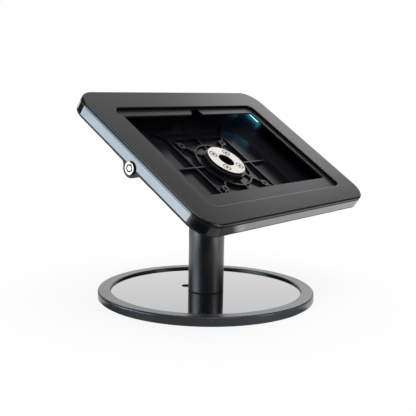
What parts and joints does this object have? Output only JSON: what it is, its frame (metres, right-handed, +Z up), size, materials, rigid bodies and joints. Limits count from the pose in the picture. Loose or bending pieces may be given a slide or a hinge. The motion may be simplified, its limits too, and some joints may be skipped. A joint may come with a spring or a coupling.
{
  "type": "tablet security kiosk stand",
  "caption": "Counter stand with a round weighted base, a bent tube column and a leaning, lockable tablet enclosure that turns between landscape and portrait.",
  "frame": {"origin": "centre of the base's underside, on the column's axis", "axes": "+Z up, +X to the reader's right along the enclosure's width, the enclosure faces -Y and leans back"},
  "size_m": [0.3154, 0.25, 0.235],
  "materials": {
    "rim_black": "satin black paint on steel",
    "plate_steel": "dark steel plate",
    "inlay_gloss": "mirror-gloss black sheet",
    "mat_rubber": "matt rubber sheet",
    "column_black": "satin black powder coat on steel",
    "dark_steel": "blackened steel",
    "bright_steel": "fine-turned bright steel",
    "chrome": "polished chrome plate",
    "shell_black": "gloss black moulding, satin inside",
    "frame_black": "fine satin black moulding",
    "mask_black": "gloss black sheet",
    "washer_white": "slippery dark plastic",
    "pad_blue": "clear blue silicone"
  },
  "bodies": {
    "stand": {"base_rim": "rim_black", "base_plate": "plate_steel", "base_inlay": "inlay_gloss", "base_mat": "mat_rubber", "rim_screws": "dark_steel", "column_bolts": "dark_steel", "column_tube": "column_black", "column_plug": "dark_steel", "cable_grommet": "mat_rubber", "neck_flange": "column_black", "stop_pin": "bright_steel", "rear_washer": "washer_white", "front_washer": "washer_white", "clamp_disc": "bright_steel", "clamp_screws": "bright_steel"},
    "enclosure": {"rear_shell": "shell_black", "corner_pad_bottom_left": "pad_blue", "corner_pad_bottom_right": "pad_blue", "corner_pad_top_left": "pad_blue", "corner_pad_top_right": "pad_blue", "lock_housing": "chrome", "lock_clip": "dark_steel"},
    "front": {"front_frame": "frame_black", "window_mask": "mask_black", "frame_catch": "dark_steel", "catch_screws": "dark_steel"},
    "lock": {"lock_core": "chrome", "lock_cam": "dark_steel", "cam_screw": "dark_steel"}
  },
  "joints": [
    {"name": "enclosure_turn", "type": "hinge", "parent": "stand", "child": "enclosure", "pos_m": [0, -0.02156, 0.15472], "axis": [0, -0.5599, 0.8285], "range_deg": [0, 90]},
    {"name": "front_swing", "type": "hinge", "parent": "enclosure", "child": "front", "pos_m": [0.1567, -0.03321, 0.17268], "axis": [0, 0.8285, 0.5599], "range_deg": [0, 100]},
    {"name": "lock_turn", "type": "hinge", "parent": "enclosure", "child": "lock", "pos_m": [-0.15, -0.02664, 0.16312], "axis": [-1, 0, 0], "range_deg": [0, 90]}
  ]
}
